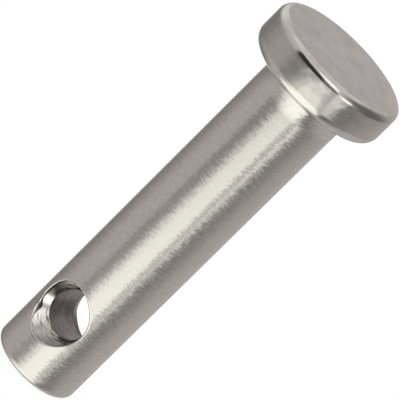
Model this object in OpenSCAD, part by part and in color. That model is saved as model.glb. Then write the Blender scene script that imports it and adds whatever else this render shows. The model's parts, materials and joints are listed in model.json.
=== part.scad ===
// Clevis pin: a turned shank with a flat head and a countersunk cross hole near its foot.
// The pin stands on its foot. Z runs up the middle of the shank, Y runs through the cross hole.

/* [Shank] */
// Diameter of the shank
shank_d = 6; // [5:0.1:7.6]
// Length of the shank, from its foot to the underside of the head
shank_len = 25.6; // [12:0.1:60]
// Radius of the rounded edge around the foot
foot_round = 0.45; // [0.1:0.05:1.5]
// Radius of the inside corner where the shank meets the head
neck_round = 0.12; // [0.05:0.01:0.8]

/* [Head] */
// Diameter of the head
head_d = 9.7; // [8:0.1:20]
// Thickness of the head
head_h = 2.8; // [1.6:0.1:6]
// Radius of the rounded edge around the head's outer face
face_round = 0.55; // [0.1:0.05:1.8]
// Radius of the rounded edge around the head's underside
seat_round = 0.8; // [0.1:0.05:1.6]

/* [Cross hole] */
// Diameter of the cross hole
hole_d = 3.2; // [1.6:0.1:4.4]
// Height of the cross hole's middle above the foot
hole_z = 4.65; // [2.8:0.05:20]
// Diameter of each countersink where it leaves the shank's side
sink_d = 4.4; // [3.3:0.1:5.9]
// Angle between opposite sides of a countersink
sink_angle = 46; // [40:1:120]

/* [Hidden] */
$fn = 120;
cutter_over = 1; // how far a cutting shape runs past the metal that it cuts

shank_r = shank_d / 2;
head_r = head_d / 2;
hole_r = hole_d / 2;
full_len = shank_len + head_h;

// A countersink is a cone with its mouth in line with the shank's side.
sink_slope = tan(sink_angle / 2);
sink_depth = (sink_d / 2 - hole_r) / sink_slope;
sink_floor = shank_r - sink_depth;

// What a round of radius r takes off a square corner that points right and up.
// The origin is the middle of the round.
module corner_off(r) {
    difference() {
        square(r + cutter_over);
        circle(r);
    }
}

// What a round of radius r adds in an inside corner with metal to its left and above.
// The origin is the corner.
module corner_fill(r) {
    difference() {
        translate([-r, -r]) square(2 * r);
        translate([r, -r]) circle(r);
    }
}

// Half of the turned outline, from the pin's middle out.
module turned_outline() {
    difference() {
        union() {
            square([shank_r, full_len]);
            translate([0, shank_len]) square([head_r, head_h]);
            translate([shank_r, shank_len]) corner_fill(neck_round);
        }
        translate([shank_r - foot_round, foot_round]) mirror([0, 1]) corner_off(foot_round);
        translate([head_r - seat_round, shank_len + seat_round]) mirror([0, 1]) corner_off(seat_round);
        translate([head_r - face_round, full_len - face_round]) corner_off(face_round);
    }
}

// The hole's drill, along +Z and centred on the origin.
module hole_drill() {
    cylinder(r = hole_r, h = 2 * (shank_r + cutter_over), center = true);
}

// One countersink's cutter, along +Z, from where it meets the bore to outside the shank.
module sink_cutter() {
    translate([0, 0, sink_floor])
        cylinder(r1 = hole_r, r2 = sink_d / 2 + cutter_over * sink_slope, h = sink_depth + cutter_over);
}

module clevis_pin() {
    color("silver")
        difference() {
            rotate_extrude() turned_outline();
            translate([0, 0, hole_z]) {
                rotate([90, 0, 0]) hole_drill();
                for (side = [-90, 90])
                    rotate([side, 0, 0]) sink_cutter();
            }
        }
}

clevis_pin();
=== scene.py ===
import json
import math
import bmesh
import bpy
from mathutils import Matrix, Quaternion, Vector


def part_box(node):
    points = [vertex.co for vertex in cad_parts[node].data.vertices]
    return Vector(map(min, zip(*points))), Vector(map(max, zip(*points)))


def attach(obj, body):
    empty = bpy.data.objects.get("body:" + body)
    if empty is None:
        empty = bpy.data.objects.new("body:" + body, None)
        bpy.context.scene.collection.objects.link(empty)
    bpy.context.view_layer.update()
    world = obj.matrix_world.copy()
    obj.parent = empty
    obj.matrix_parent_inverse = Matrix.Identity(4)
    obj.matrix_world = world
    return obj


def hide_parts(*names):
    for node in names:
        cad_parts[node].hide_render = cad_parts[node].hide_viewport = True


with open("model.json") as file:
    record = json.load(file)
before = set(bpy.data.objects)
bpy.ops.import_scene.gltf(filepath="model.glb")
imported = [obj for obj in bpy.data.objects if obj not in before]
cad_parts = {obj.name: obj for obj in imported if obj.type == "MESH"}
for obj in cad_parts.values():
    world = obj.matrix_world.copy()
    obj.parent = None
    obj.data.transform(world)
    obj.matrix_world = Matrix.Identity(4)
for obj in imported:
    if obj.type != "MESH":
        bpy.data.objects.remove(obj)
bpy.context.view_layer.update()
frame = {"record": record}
mm = 0.001
tolerance = 0.002 * mm  # within this, two places count as the same

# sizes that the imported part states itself
mounts = {mount["name"]: mount for mount in frame["record"]["mounts"]}
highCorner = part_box("clevis_pin")[1]
shankRadius = mounts["shank"]["dims"]["r_mm"] * mm
boreRadius = mounts["cross_hole"]["dims"]["r_mm"] * mm
boreLength = mounts["cross_hole"]["dims"]["length_mm"] * mm
holeHeight = mounts["cross_hole"]["pos_m"][2]
seatHeight = mounts["head_seat"]["pos_m"][2]
headRadius = highCorner.x
fullHeight = highCorner.z

pinShape = {
    "footRound": 0.45 * mm,
    "neckRound": 0.12 * mm,
    "seatRound": 0.8 * mm,
    "faceRound": 0.55 * mm,
    "roundSteps": 20,
    "sinkRadius": 2.2 * mm,  # the countersink's mouth, before its edge is broken
    "sinkExtra": 0.16 * mm,  # how much deeper the tool went on the real pin
    "lipOut": (0.12 * mm, 0.09 * mm),  # the broken edge on the shank, at the sides and at top and bottom
    "lipSkew": 0.055 * mm,  # how much wider it is on one slant than on the other
    "lipIn": (0.22 * mm, 0.12 * mm),  # the broken edge down the countersink, at the same places
    "lipWorn": (215, 12, 0.33 * mm),  # its worn place: degrees round the hole, spread, how much wider
    "lipSteps": 10,
    "ringBreak": 0.05 * mm,  # the broken edge between the countersink and the bore
    "bandHalfHeight": 3.7 * mm,  # the drilled band, above and below the hole's middle
    "columns": 180,  # faces across half of the shank
    "bandRows": 142,
    "bandRings": [0.1, 0.2, 0.3, 0.4, 0.5, 0.6, 0.7, 0.78, 0.85, 0.91, 0.96, 1.0],
    "mouthRange": (0.5 * mm, 3.5 * mm),  # where the mouth's outer line is looked for
    "weld": 0.001 * mm,
    "smoothAngle": 24,
}


def clearSelection():
    if bpy.context.object and bpy.context.object.mode != "OBJECT":
        bpy.ops.object.mode_set(mode="OBJECT")
    bpy.ops.object.select_all(action="DESELECT")


def editMesh(obj):
    clearSelection()
    bpy.context.view_layer.objects.active = obj
    obj.select_set(True)
    bpy.ops.object.mode_set(mode="EDIT")
    bpy.ops.mesh.select_mode(type="EDGE")
    bpy.ops.mesh.select_all(action="DESELECT")


def selectEdges(obj, test):
    # selects the edges for which test(one end, other end, edge) holds
    bpy.ops.mesh.select_all(action="DESELECT")
    bm = bmesh.from_edit_mesh(obj.data)
    for edge in bm.edges:
        if test(edge.verts[0].co, edge.verts[1].co, edge):
            edge.select_set(True)
    bm.select_flush_mode()
    bmesh.update_edit_mesh(obj.data)


def moveSelected(obj, place):
    # puts each selected vertex where place(old position) says
    bm = bmesh.from_edit_mesh(obj.data)
    for vert in bm.verts:
        if vert.select:
            vert.co = place(vert.co.copy())
    bmesh.update_edit_mesh(obj.data)


def extrudeLoop(obj, place):
    bpy.ops.mesh.extrude_edges_move()
    moveSelected(obj, place)


def near(a, b):
    return abs(a - b) < tolerance


# the countersink is a straight cone from the bore's end to the shank's side
boreHalfLength = boreLength / 2 - pinShape["sinkExtra"]
sinkSlope = (pinShape["sinkRadius"] - boreRadius) / (shankRadius - boreHalfLength)


def turnAbout(co):
    # the angle of a point round the hole, seen along the hole
    return math.atan2(co.z - holeHeight, co.x)


def mixed(pair, angle):
    # the pair's first value at the sides of the hole, its second at top and bottom
    return pair[1] + (pair[0] - pair[1]) * math.cos(angle) ** 2


def lipOutside(angle):
    # how far the broken edge runs out on the shank
    return mixed(pinShape["lipOut"], angle) + pinShape["lipSkew"] * math.sin(2 * angle)


def lipInside(angle):
    # how far the broken edge runs down the countersink
    middle, width, extra = pinShape["lipWorn"]
    away = (math.degrees(angle) - middle + 180) % 360 - 180
    return mixed(pinShape["lipIn"], angle) + extra * math.exp(-(away / width) ** 2)


def sharpEdge(angle):
    # the point where the countersink would meet the shank's side at a sharp edge
    reach = pinShape["sinkRadius"]
    for _ in range(20):
        side = reach * math.cos(angle)
        depth = shankRadius - math.sqrt(shankRadius ** 2 - side ** 2)
        reach = pinShape["sinkRadius"] - depth * sinkSlope
    side = reach * math.cos(angle)
    return Vector((side, -math.sqrt(shankRadius ** 2 - side ** 2), holeHeight + reach * math.sin(angle)))


def boreRing(angle, depth):
    return Vector((boreRadius * math.cos(angle), -depth, holeHeight + boreRadius * math.sin(angle)))


def mouthReach(flatAngle):
    # how far the lip's outer line lies from the hole's middle, on the flat band
    low, high = pinShape["mouthRange"]
    for _ in range(40):
        reach = (low + high) / 2
        side = shankRadius * math.sin(reach * math.cos(flatAngle) / shankRadius)
        angle = math.atan2(reach * math.sin(flatAngle), side)
        edge = sharpEdge(angle)
        flatEdge = math.hypot(shankRadius * math.asin(edge.x / shankRadius), edge.z - holeHeight)
        if reach < flatEdge + lipOutside(angle):
            low = reach
        else:
            high = reach
    return reach


def makeDrilledBand():
    # half of the drilled band, laid out flat, with the hole's mouth in its middle
    halfWidth = math.pi * shankRadius / 2
    halfHeight = pinShape["bandHalfHeight"]
    clearSelection()
    bpy.ops.mesh.primitive_plane_add(size=2, location=(0, 0, holeHeight), rotation=(math.pi / 2, 0, 0))
    band = bpy.context.object
    band.scale = (halfWidth, halfHeight, 1)
    bpy.ops.object.transform_apply(location=True, rotation=True, scale=True)
    editMesh(band)
    bpy.ops.mesh.select_all(action="SELECT")
    bpy.ops.mesh.delete(type="ONLY_FACE")
    selectEdges(band, lambda a, b, edge: near(a.z, b.z))
    bpy.ops.mesh.subdivide(number_cuts=pinShape["columns"] - 1)
    selectEdges(band, lambda a, b, edge: near(a.x, b.x) and not near(a.z, b.z))
    bpy.ops.mesh.subdivide(number_cuts=pinShape["bandRows"] - 1)

    def ringPlace(share):
        def place(co):
            angle = math.atan2(co.z - holeHeight, co.x)
            edgeReach = min(
                halfWidth / max(abs(math.cos(angle)), 1e-9),
                halfHeight / max(abs(math.sin(angle)), 1e-9),
            )
            reach = edgeReach + (mouthReach(angle) - edgeReach) * share
            return Vector((reach * math.cos(angle), 0, holeHeight + reach * math.sin(angle)))
        return place

    bpy.ops.mesh.select_all(action="SELECT")
    for share in pinShape["bandRings"]:
        extrudeLoop(band, ringPlace(share))

    # roll the band up, with the mouth facing the front
    bm = bmesh.from_edit_mesh(band.data)
    for vert in bm.verts:
        turn = vert.co.x / shankRadius
        vert.co = (shankRadius * math.sin(turn), -shankRadius * math.cos(turn), vert.co.z)
    bmesh.update_edit_mesh(band.data)

    # the broken edge runs from the shank's side into the countersink in one smooth curve
    bm = bmesh.from_edit_mesh(band.data)
    outerLine = {}
    for vert in bm.verts:
        if vert.select:
            outerLine[round(turnAbout(vert.co), 5)] = vert.co.copy()

    def lipPlace(share):
        def place(co):
            angle = turnAbout(co)
            start = outerLine[min(outerLine, key=lambda known: 1 - math.cos(known - angle))]
            edge = sharpEdge(angle)
            inward = (boreRing(angle, boreHalfLength) - edge).normalized()
            end = edge + inward * lipInside(angle)
            return start * (1 - share) ** 2 + edge * 2 * share * (1 - share) + end * share ** 2
        return place

    for step in range(pinShape["lipSteps"]):
        extrudeLoop(band, lipPlace((step + 1) / pinShape["lipSteps"]))

    # the countersink, and the bore as far as the middle of the shank
    extrudeLoop(band, lambda co: boreRing(turnAbout(co), boreHalfLength))
    extrudeLoop(band, lambda co: boreRing(turnAbout(co), boreHalfLength / 2))
    extrudeLoop(band, lambda co: boreRing(turnAbout(co), 0))
    bpy.ops.object.mode_set(mode="OBJECT")
    return band


def makePin():
    pin = makeDrilledBand()
    pin.name = "turnedPin"
    mirror = pin.modifiers.new("otherHalf", "MIRROR")
    mirror.use_axis = (False, True, False)
    mirror.merge_threshold = pinShape["weld"]
    bpy.ops.object.modifier_apply(modifier=mirror.name)
    editMesh(pin)
    bpy.ops.mesh.select_all(action="SELECT")
    bpy.ops.mesh.remove_doubles(threshold=pinShape["weld"])

    bandTop = holeHeight + pinShape["bandHalfHeight"]
    bandBottom = holeHeight - pinShape["bandHalfHeight"]

    def loopAt(height):
        selectEdges(pin, lambda a, b, edge: edge.is_boundary and near(a.z, height) and near(b.z, height))

    def ringTo(radius, height):
        def place(co):
            out = Vector((co.x, co.y, 0)).normalized() * radius
            return Vector((out.x, out.y, height))
        return place

    loopAt(bandTop)
    extrudeLoop(pin, ringTo(shankRadius, (bandTop + seatHeight) / 2))
    extrudeLoop(pin, ringTo(shankRadius, seatHeight))
    extrudeLoop(pin, ringTo(headRadius, seatHeight))
    extrudeLoop(pin, ringTo(headRadius, fullHeight))
    bpy.ops.mesh.edge_face_add()
    loopAt(bandBottom)
    extrudeLoop(pin, ringTo(shankRadius, 0))
    bpy.ops.mesh.edge_face_add()

    def cornerAt(radius, height, width):
        selectEdges(pin, lambda a, b, edge: all(
            near(p.z, height) and near(math.hypot(p.x, p.y), radius) for p in (a, b)))
        bpy.ops.mesh.bevel(offset=width, segments=pinShape["roundSteps"], profile=0.5, clamp_overlap=False)

    cornerAt(shankRadius, 0, pinShape["footRound"])
    cornerAt(shankRadius, seatHeight, pinShape["neckRound"])
    cornerAt(headRadius, seatHeight, pinShape["seatRound"])
    cornerAt(headRadius, fullHeight, pinShape["faceRound"])

    # break the edge between each countersink and the bore
    def onRing(p):
        reach = math.hypot(p.x, p.z - holeHeight)
        return near(abs(p.y), boreHalfLength) and near(reach, boreRadius)

    selectEdges(pin, lambda a, b, edge: onRing(a) and onRing(b))
    bpy.ops.mesh.bevel(offset=pinShape["ringBreak"], segments=3, profile=0.5, clamp_overlap=False)
    bpy.ops.mesh.select_all(action="SELECT")
    bpy.ops.mesh.normals_make_consistent(inside=False)
    bpy.ops.object.mode_set(mode="OBJECT")
    bpy.ops.object.shade_smooth_by_angle(angle=math.radians(pinShape["smoothAngle"]))
    even = pin.modifiers.new("evenNormals", "WEIGHTED_NORMAL")
    even.keep_sharp = True
    even.weight = 100
    bpy.ops.object.modifier_apply(modifier=even.name)
    return pin


pin = makePin()
print("pin:", len(pin.data.polygons), "faces")
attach(pin, "root")
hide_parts("clevis_pin")


def newMaterial(name):
    material = bpy.data.materials.new(name)
    material.use_nodes = True
    nodes = material.node_tree.nodes
    nodes.clear()
    shader = nodes.new("ShaderNodeBsdfPrincipled")
    output = nodes.new("ShaderNodeOutputMaterial")
    material.node_tree.links.new(shader.outputs["BSDF"], output.inputs["Surface"])
    return material, nodes, material.node_tree.links, shader


def stretchedNoise(nodes, links, scale, detail, roughness):
    # noise on the piece's own coordinates; scale is in features per millimetre along X, Y and Z
    coords = nodes.new("ShaderNodeTexCoord")
    mapping = nodes.new("ShaderNodeMapping")
    mapping.inputs["Scale"].default_value = tuple(value / mm for value in scale)
    noise = nodes.new("ShaderNodeTexNoise")
    noise.inputs["Scale"].default_value = 1
    noise.inputs["Detail"].default_value = detail
    noise.inputs["Roughness"].default_value = roughness
    links.new(coords.outputs["Object"], mapping.inputs["Vector"])
    links.new(mapping.outputs["Vector"], noise.inputs["Vector"])
    return noise


def ranged(nodes, links, value, source, target):
    # carries a value from one range to another
    remap = nodes.new("ShaderNodeMapRange")
    remap.inputs["From Min"].default_value = source[0]
    remap.inputs["From Max"].default_value = source[1]
    remap.inputs["To Min"].default_value = target[0]
    remap.inputs["To Max"].default_value = target[1]
    links.new(value, remap.inputs["Value"])
    return remap.outputs["Result"]


noiseSpan = (0.3, 0.7)  # where most of a noise texture's values lie


def spread(nodes, links, noise, low, high):
    return ranged(nodes, links, noise.outputs["Fac"], noiseSpan, (low, high))


def combined(nodes, links, operation, values):
    total = values[0]
    for value in values[1:]:
        step = nodes.new("ShaderNodeMath")
        step.operation = operation
        links.new(total, step.inputs[0])
        links.new(value, step.inputs[1])
        total = step.outputs["Value"]
    return total


def curved(nodes, links, value, points):
    # reads a value off a smooth curve through the points, for an input between -1 and 1
    curve = nodes.new("ShaderNodeFloatCurve")
    line = curve.mapping.curves[0]
    while len(line.points) < len(points):
        line.points.new(0.5, 0.5)
    for point, (along, height) in zip(line.points, points):
        point.location = (along * 0.5 + 0.5, height)
    curve.mapping.update()
    links.new(ranged(nodes, links, value, (-1, 1), (0, 1)), curve.inputs["Value"])
    return curve.outputs["Value"]


def tint(nodes, links, shader, value, dark, light):
    ramp = nodes.new("ShaderNodeMix")
    ramp.data_type = "RGBA"
    ramp.inputs["A"].default_value = (*dark, 1)
    ramp.inputs["B"].default_value = (*light, 1)
    links.new(value, ramp.inputs["Factor"])
    links.new(ramp.outputs["Result"], shader.inputs["Base Color"])


def leaned(nodes, links, normal, along, amount):
    # turns the surface a little along a direction, by an amount that may vary over it
    lean = nodes.new("ShaderNodeVectorMath")
    lean.operation = "SCALE"
    links.new(along, lean.inputs[0])
    links.new(amount, lean.inputs["Scale"])
    total = nodes.new("ShaderNodeVectorMath")
    total.operation = "ADD"
    links.new(normal, total.inputs[0])
    links.new(lean.outputs["Vector"], total.inputs[1])
    unit = nodes.new("ShaderNodeVectorMath")
    unit.operation = "NORMALIZE"
    links.new(total.outputs["Vector"], unit.inputs[0])
    return unit.outputs["Vector"]


def outward(nodes, links, keep):
    # the direction away from the middle, along the axes that are kept
    coords = nodes.new("ShaderNodeTexCoord")
    flat = nodes.new("ShaderNodeVectorMath")
    flat.operation = "MULTIPLY"
    flat.inputs[1].default_value = keep
    links.new(coords.outputs["Object"], flat.inputs[0])
    unit = nodes.new("ShaderNodeVectorMath")
    unit.operation = "NORMALIZE"
    links.new(flat.outputs["Vector"], unit.inputs[0])
    return unit.outputs["Vector"]


groundFinish = {
    "dark": (0.59, 0.57, 0.515),
    "light": (0.74, 0.72, 0.65),
    "roughness": (0.20, 0.28),
    "anisotropic": 0.7,
    "anisotropicTurn": 0.25,  # stretches the highlights along the pin
    "grain": (2.5, 2.5, 14.0),  # grinding marks per millimetre, along X, Y and Z
    "grainDepth": 0.0020 * mm,
    "waver": (3.2, 3.2, 13.0),
    "waverLean": 0.06,  # how far the marks turn the surface round the pin
    "flare": (1.5 * mm, 0.45),  # a slight flare that the wheel's edge left under the head: length, lean
}


def makeGround():
    material, nodes, links, shader = newMaterial("groundShank")
    finish = groundFinish
    shader.inputs["Metallic"].default_value = 1
    shader.inputs["Anisotropic"].default_value = finish["anisotropic"]
    shader.inputs["Anisotropic Rotation"].default_value = finish["anisotropicTurn"]
    tangent = nodes.new("ShaderNodeTangent")
    tangent.direction_type = "RADIAL"
    tangent.axis = "Z"
    links.new(tangent.outputs["Tangent"], shader.inputs["Tangent"])
    fine = stretchedNoise(nodes, links, finish["grain"], 2, 0.6)
    tint(nodes, links, shader, spread(nodes, links, fine, 0, 1), finish["dark"], finish["light"])
    links.new(spread(nodes, links, fine, *finish["roughness"]), shader.inputs["Roughness"])
    bump = nodes.new("ShaderNodeBump")
    bump.inputs["Distance"].default_value = finish["grainDepth"]
    links.new(fine.outputs["Fac"], bump.inputs["Height"])
    links.new(outward(nodes, links, (1, 1, 0)), bump.inputs["Normal"])
    waver = stretchedNoise(nodes, links, finish["waver"], 2, 0.6)
    amount = spread(nodes, links, waver, -finish["waverLean"], finish["waverLean"])
    normal = leaned(nodes, links, bump.outputs["Normal"], tangent.outputs["Tangent"], amount)
    coords = nodes.new("ShaderNodeTexCoord")
    place = nodes.new("ShaderNodeSeparateXYZ")
    links.new(coords.outputs["Object"], place.inputs["Vector"])
    length, most = finish["flare"]
    flare = ranged(nodes, links, place.outputs["Z"], (seatHeight - length, seatHeight), (0, most))
    down = nodes.new("ShaderNodeCombineXYZ")
    down.inputs["Z"].default_value = -1
    normal = leaned(nodes, links, normal, down.outputs["Vector"], flare)
    links.new(normal, shader.inputs["Normal"])
    return material


plainFinishes = {
    "tumbledHead": {
        "dark": (0.55, 0.535, 0.485), "light": (0.74, 0.72, 0.656), "roughness": (0.13, 0.18),
        "grain": (2.5, 2.5, 4.0), "depth": 0.0008 * mm, "dents": (0.7, 0.7, 0.7), "dentDepth": 0.032 * mm,
        "tone": (0.8, 0.8, 0.8),
    },
    "turnedWall": {
        "dark": (0.53, 0.512, 0.462), "light": (0.605, 0.585, 0.53), "roughness": (0.19, 0.27),
        "grain": (1.8, 1.8, 4.0), "depth": 0.0016 * mm, "dents": (0.9, 0.9, 0.7), "dentDepth": 0.036 * mm,
    },
    "brokenLip": {
        "dark": (0.66, 0.64, 0.60), "light": (0.72, 0.70, 0.65), "roughness": (0.14, 0.20),
        "grain": (4.0, 4.0, 4.0), "depth": 0.0004 * mm,
    },
    "countersink": {
        "dark": (0.27, 0.265, 0.235), "light": (0.76, 0.735, 0.67), "roughness": (0.17, 0.24),
        "grain": (1.5, 8.0, 1.5), "depth": 0.0015 * mm,
        "lean": ((-1, 0.54), (-0.6, 0.46), (-0.3, 0.45), (0.2, 0.49), (1, 0.56)),
        "swing": ((-1, 0.30), (-0.5, 0.12), (-0.2, 0.05), (0.2, 0.04), (1, 0.33)),
        # painted light and shade: the countersink's colour is made paler where its surface faces down or
        # sideways, darker where it faces up or towards -X
        "paintedLightFacingZ": (0.3, 0.9), "paintedLightByZ": (0.75, -0.1), "paintedShadeFacingX": (-0.7, 0.1), "paintedShadeByX": (-0.8, 0),
    },
    # painted shade: the bore's steel is far darker than the shank's, standing in for the shade inside the
    # hole; its grain and dents are real drilling marks
    "drilledBorePaintedShade": {
        "dark": (0.15, 0.137, 0.128), "light": (0.38, 0.348, 0.333), "roughness": (0.25, 0.38),
        "grain": (1.8, 4.2, 1.8), "depth": 0.005 * mm, "dents": (0.8, 0.8, 0.8), "dentDepth": 0.05 * mm,
    },
    "turnedFoot": {
        "dark": (0.62, 0.60, 0.55), "light": (0.68, 0.655, 0.60), "roughness": (0.2, 0.28),
        "grain": (2.0, 2.0, 8.0), "depth": 0.0008 * mm,
    },
}


def makePlain(name):
    finish = plainFinishes[name]
    material, nodes, links, shader = newMaterial(name)
    shader.inputs["Metallic"].default_value = 1
    fine = stretchedNoise(nodes, links, finish["grain"], 3, 0.6)
    tone = stretchedNoise(nodes, links, finish["tone"], 5, 0.7) if "tone" in finish else fine
    shade = spread(nodes, links, tone, 0, 1)
    links.new(spread(nodes, links, fine, *finish["roughness"]), shader.inputs["Roughness"])
    bump = nodes.new("ShaderNodeBump")
    bump.inputs["Distance"].default_value = finish["depth"]
    links.new(fine.outputs["Fac"], bump.inputs["Height"])
    normal = bump.outputs["Normal"]
    if "dents" in finish:
        dents = stretchedNoise(nodes, links, finish["dents"], 2, 0.5)
        wide = nodes.new("ShaderNodeBump")
        wide.inputs["Distance"].default_value = finish["dentDepth"]
        links.new(dents.outputs["Fac"], wide.inputs["Height"])
        links.new(wide.outputs["Normal"], bump.inputs["Normal"])
    if "lean" in finish:
        # the tool left small steps that face the mouth of the hole, rougher on the lower side
        shape = nodes.new("ShaderNodeNewGeometry")
        facing = nodes.new("ShaderNodeSeparateXYZ")
        links.new(shape.outputs["Normal"], facing.inputs["Vector"])
        lean = curved(nodes, links, facing.outputs["Z"], finish["lean"])
        swing = curved(nodes, links, facing.outputs["Z"], finish["swing"])
        uneven = combined(nodes, links, "MULTIPLY", [spread(nodes, links, fine, -1, 1), swing])
        amount = combined(nodes, links, "ADD", [lean, uneven])
        normal = leaned(nodes, links, normal, outward(nodes, links, (0, 1, 0)), amount)
        # painted light and shade added to the colour by which way the surface faces: paler unless it faces
        # up, darker where it faces towards -X
        low = ranged(nodes, links, facing.outputs["Z"], finish["paintedLightFacingZ"], finish["paintedLightByZ"])
        side = ranged(nodes, links, facing.outputs["X"], finish["paintedShadeFacingX"], finish["paintedShadeByX"])
        shade = combined(nodes, links, "ADD", [shade, low, side])
    tint(nodes, links, shader, shade, finish["dark"], finish["light"])
    links.new(normal, shader.inputs["Normal"])
    return material


finishOrder = [
    "groundShank", "tumbledHead", "turnedWall", "brokenLip",
    "countersink", "drilledBorePaintedShade", "turnedFoot",
]
# how much of the broken edge has its own finish, and how near a face lies to the shank's side or the bore
finishEdges = {"lipOutShare": 0.75, "lipInShare": 0.85, "shankSkin": 0.02 * mm, "boreSkin": 0.01 * mm}


def finishAt(centre):
    # which finish a face has, by where its middle lies
    out = math.hypot(centre.x, centre.y)
    reach = math.hypot(centre.x, centre.z - holeHeight)
    if near(out, headRadius):
        return "turnedWall"
    if centre.z > seatHeight - pinShape["neckRound"] * 0.5:
        return "tumbledHead"
    if reach > pinShape["sinkRadius"] + pinShape["lipOut"][0]:
        return "turnedFoot" if centre.z < pinShape["footRound"] else "groundShank"
    turn = turnAbout(centre)
    edge = sharpEdge(turn)
    edgeReach = math.hypot(edge.x, edge.z - holeHeight)
    lipEnd = edgeReach + lipOutside(turn) * finishEdges["lipOutShare"]
    if out > shankRadius - finishEdges["shankSkin"] and reach > lipEnd:
        return "groundShank"
    skin = finishEdges["boreSkin"]
    if abs(centre.y) < boreHalfLength - skin and reach < boreRadius + skin:
        return "drilledBorePaintedShade"
    if abs(edge.y) - abs(centre.y) > lipInside(turn) * finishEdges["lipInShare"]:
        return "countersink"
    return "brokenLip"


pin.data.materials.append(makeGround())
for name in finishOrder[1:]:
    pin.data.materials.append(makePlain(name))
for face in pin.data.polygons:
    face.material_index = finishOrder.index(finishAt(face.center))
print("finishes:", ", ".join(finishOrder))

floorLook = {"size": 3.0, "shadowShare": 0.2, "white": 1.13, "paper": (0.8, 0.8, 0.8, 1)}


def makeFloor():
    clearSelection()
    bpy.ops.mesh.primitive_plane_add(size=floorLook["size"], location=(0, 0, 0))
    floor = bpy.context.object
    floor.name = "floor"
    material = bpy.data.materials.new("whitePaper")
    material.use_nodes = True
    nodes = material.node_tree.nodes
    links = material.node_tree.links
    nodes.clear()
    paper = nodes.new("ShaderNodeBsdfDiffuse")
    paper.inputs["Color"].default_value = floorLook["paper"]
    glow = nodes.new("ShaderNodeEmission")
    glow.inputs["Strength"].default_value = floorLook["white"]
    rays = nodes.new("ShaderNodeLightPath")
    kinds = ("Is Camera Ray", "Is Glossy Ray", "Is Transmission Ray")
    seen = combined(nodes, links, "MAXIMUM", [rays.outputs[kind] for kind in kinds])
    share = nodes.new("ShaderNodeMath")
    share.operation = "MULTIPLY"
    share.inputs[1].default_value = 1 - floorLook["shadowShare"]
    links.new(seen, share.inputs[0])
    mix = nodes.new("ShaderNodeMixShader")
    links.new(share.outputs["Value"], mix.inputs["Fac"])
    links.new(paper.outputs["BSDF"], mix.inputs[1])
    links.new(glow.outputs["Emission"], mix.inputs[2])
    output = nodes.new("ShaderNodeOutputMaterial")
    links.new(mix.outputs["Shader"], output.inputs["Surface"])
    floor.data.materials.append(material)
    floor.visible_glossy = False  # a white floor in the metal would drown the shank's bands


makeFloor()
print("floor:", floorLook["size"], "m across")

view = {
    "turn": 24, "rise": 19.47, "roll": 45.29,  # degrees
    "distance": 250.5 * mm, "aim": 15.487 * mm, "lens": 367.8, "clip": 10 * mm,
}


def direction(turn, rise):
    # turn is counted from the camera's side towards its right, rise from the level up, both in degrees
    side = math.radians(view["turn"] + turn)
    up = math.radians(rise)
    return Vector((math.sin(side) * math.cos(up), -math.cos(side) * math.cos(up), math.sin(up)))


# a room that is lighter towards its ceiling, white where the camera looks past the floor
room = {
    "stops": [
        (0.0, 0.58), (0.25, 0.54), (0.45, 0.53), (0.6, 0.56),
        (0.73, 0.60), (0.82, 0.68), (0.92, 0.86), (1.0, 0.70),
    ],
    "tint": (1.0, 0.955, 0.975),
}

# the cards round the pin: their corners as (turn, rise) in the order top left, top right,
# bottom left, bottom right, how wide their soft edges are (left, right, bottom, top) in
# degrees, how bright they are and how far away
cards = {
    "lowFront": {
        "corners": ((-30, -12), (22, -12), (-66, -50), (42, -50)),
        "soft": (41, 7, 1, 3), "glow": 1.55, "away": 0.50,
    },
    "lowUnder": {
        "corners": ((-66, -50), (44, -50), (-130, -89), (70, -89)),
        "soft": (30, 8, 1, 1), "glow": 1.48, "away": 0.50,
    },
    "lowBack": {
        "corners": ((182, -23), (195, -23), (182, -45), (195, -45)),
        "soft": (2, 3, 10, 4), "glow": 1.2, "away": 0.50,
    },
    "backFlag": {
        "corners": ((164, -2), (183, -2), (164, -45), (183, -45)),
        "soft": (4, 2, 10, 4), "glow": 0.12, "away": 0.51,
    },
    "leftNotch": {
        "corners": ((-57, -8), (-12, -8), (-57, -32), (-20, -32)),
        "soft": (6, 20, 12, 2), "glow": 0.41, "away": 0.515,
    },
    "blackFlag": {
        "corners": ((-55, 42), (10, 36), (-54, -15), (10, -11)),
        "soft": (2, 12, 5, 5), "glow": 0.035, "away": 0.48,
    },
    "greyFlag": {
        "corners": ((-2, 27), (34, 23), (-2, -12), (34, -12)),
        "soft": (8, 5, 6, 8), "glow": 0.22, "away": 0.485,
    },
    "frontGap": {
        "corners": ((18, -12), (35, -12), (20, -50), (42, -50)),
        "soft": (4, 4, 3, 3), "glow": 0.7, "away": 0.52,
    },
    "rightBox": {
        "corners": ((33, 18), (62, 17), (34, -28), (56, -7)),
        "soft": (3, 5, 8, 5), "glow": 1.7, "away": 0.47,
    },
    "topBox": {
        "corners": ((-24, 66), (40, 62), (-16, 28), (36, 23)),
        "soft": (20, 6, 5, 16), "glow": 1.5, "away": 0.49,
    },
    "rightWall": {
        "corners": ((22, 66), (160, 66), (38, -15), (165, -15)),
        "soft": (45, 60, 6, 22), "glow": 0.18, "away": 0.55,
    },
    "rightLow": {
        "corners": ((36, -8), (115, -8), (40, -70), (84, -70)),
        "soft": (6, 56, 10, 5), "glow": 0.21, "away": 0.54,
    },
    "leftShade": {
        "corners": ((-168, 8), (-85, 8), (-168, -60), (-85, -60)),
        "soft": (8, 60, 15, 16), "glow": 0.27, "away": 0.54,
    },
    "backGlow": {
        "corners": ((-172, 45), (-95, 45), (-172, 2), (-95, 2)),
        "soft": (8, 40, 10, 20), "glow": 0.82, "away": 0.53,
    },
    "backWall": {
        "corners": ((150, 58), (245, 58), (150, 8), (245, 8)),
        "soft": (20, 45, 6, 14), "glow": 0.54, "away": 0.56,
    },
}
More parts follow.
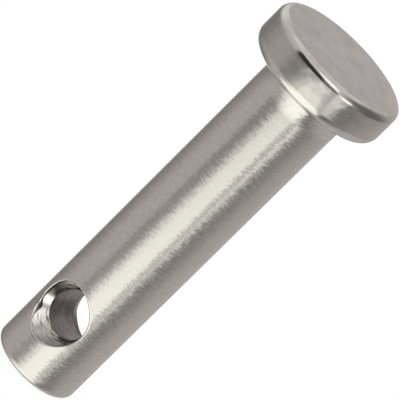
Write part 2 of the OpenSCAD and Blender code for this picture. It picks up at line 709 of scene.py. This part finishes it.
cardShape = {"columns": 24, "rows": 12, "height": 15 * mm, "tintedBelow": 0.6}


def softEdge(nodes, links, distance, width):
    # 0 at the card's edge and 1 from the given width on
    fade = nodes.new("ShaderNodeMapRange")
    fade.interpolation_type = "SMOOTHSTEP"
    fade.inputs["From Max"].default_value = width
    links.new(distance, fade.inputs["Value"])
    return fade.outputs["Result"]


def fromEnd(nodes, links, value):
    back = nodes.new("ShaderNodeMath")
    back.operation = "SUBTRACT"
    back.inputs[0].default_value = 1
    links.new(value, back.inputs[1])
    return back.outputs["Value"]


def cardLight(name):
    card = cards[name]
    material = bpy.data.materials.new(name)
    material.use_nodes = True
    nodes = material.node_tree.nodes
    links = material.node_tree.links
    nodes.clear()
    topLeft, topRight, bottomLeft, bottomRight = card["corners"]
    width = (topRight[0] - topLeft[0] + bottomRight[0] - bottomLeft[0]) / 2
    height = (topLeft[1] - bottomLeft[1] + topRight[1] - bottomRight[1]) / 2
    coords = nodes.new("ShaderNodeTexCoord")
    split = nodes.new("ShaderNodeSeparateXYZ")
    links.new(coords.outputs["UV"], split.inputs["Vector"])
    across = split.outputs["X"]
    up = split.outputs["Y"]
    left, right, bottom, top = card["soft"]
    edges = [
        softEdge(nodes, links, across, left / width),
        softEdge(nodes, links, fromEnd(nodes, links, across), right / width),
        softEdge(nodes, links, up, bottom / height),
        softEdge(nodes, links, fromEnd(nodes, links, up), top / height),
    ]
    glow = nodes.new("ShaderNodeEmission")
    glow.inputs["Strength"].default_value = card["glow"]
    if card["glow"] < cardShape["tintedBelow"]:
        glow.inputs["Color"].default_value = (*room["tint"], 1)
    clear = nodes.new("ShaderNodeBsdfTransparent")
    mix = nodes.new("ShaderNodeMixShader")
    links.new(combined(nodes, links, "MULTIPLY", edges), mix.inputs["Fac"])
    links.new(clear.outputs["BSDF"], mix.inputs[1])
    links.new(glow.outputs["Emission"], mix.inputs[2])
    output = nodes.new("ShaderNodeOutputMaterial")
    links.new(mix.outputs["Shader"], output.inputs["Surface"])
    return material


def makeCard(name):
    card = cards[name]
    clearSelection()
    bpy.ops.mesh.primitive_grid_add(
        x_subdivisions=cardShape["columns"], y_subdivisions=cardShape["rows"], size=2, location=(0, 0, 0))
    obj = bpy.context.object
    obj.name = name
    editMesh(obj)
    bpy.ops.mesh.select_all(action="SELECT")

    def place(co):
        across = (co.x + 1) / 2
        up = (co.y + 1) / 2
        corners = [Vector(corner) for corner in card["corners"]]
        high = corners[0].lerp(corners[1], across)
        low = corners[2].lerp(corners[3], across)
        turn, rise = low.lerp(high, up)
        middle = Vector((0, 0, cardShape["height"]))
        return middle + direction(turn, rise) * card["away"]

    moveSelected(obj, place)
    bpy.ops.object.mode_set(mode="OBJECT")
    obj.data.materials.append(cardLight(name))
    obj.visible_camera = False
    obj.visible_diffuse = False
    obj.visible_transmission = False
    obj.visible_shadow = False


for name in cards:
    makeCard(name)
print("cards:", len(cards))


def makeRoom():
    # white for the camera alone: the metal reflects the grey room
    world = bpy.data.worlds.new("studio")
    bpy.context.scene.world = world
    world.use_nodes = True
    nodes = world.node_tree.nodes
    links = world.node_tree.links
    nodes.clear()
    coords = nodes.new("ShaderNodeTexCoord")
    split = nodes.new("ShaderNodeSeparateXYZ")
    links.new(coords.outputs["Generated"], split.inputs["Vector"])
    height = nodes.new("ShaderNodeMapRange")
    height.inputs["From Min"].default_value = -1
    links.new(split.outputs["Z"], height.inputs["Value"])
    ramp = nodes.new("ShaderNodeValToRGB")
    while len(ramp.color_ramp.elements) < len(room["stops"]):
        ramp.color_ramp.elements.new(0.5)
    for element, (place, level) in zip(ramp.color_ramp.elements, room["stops"]):
        element.position = place
        element.color = (*(level * part for part in room["tint"]), 1)
    links.new(height.outputs["Result"], ramp.inputs["Fac"])
    rays = nodes.new("ShaderNodeLightPath")
    mix = nodes.new("ShaderNodeMix")
    mix.data_type = "RGBA"
    mix.inputs["B"].default_value = (1, 1, 1, 1)
    links.new(rays.outputs["Is Camera Ray"], mix.inputs["Factor"])
    links.new(ramp.outputs["Color"], mix.inputs["A"])
    background = nodes.new("ShaderNodeBackground")
    links.new(mix.outputs["Result"], background.inputs["Color"])
    output = nodes.new("ShaderNodeOutputWorld")
    links.new(background.outputs["Background"], output.inputs["Surface"])


makeRoom()
print("room:", len(room["stops"]), "levels from floor to ceiling")

camera = bpy.data.objects.new("camera", bpy.data.cameras.new("camera"))
bpy.context.collection.objects.link(camera)
towards = direction(0, view["rise"])
camera.location = Vector((0, 0, view["aim"])) + towards * view["distance"]
upright = towards.to_track_quat("Z", "Y")
camera.rotation_euler = (upright @ Quaternion((0, 0, 1), math.radians(view["roll"]))).to_euler()
camera.data.lens = view["lens"]
camera.data.clip_start = view["clip"]
bpy.context.scene.camera = camera
bpy.context.scene.view_settings.view_transform = "Standard"
print("camera: lens", view["lens"], "mm")
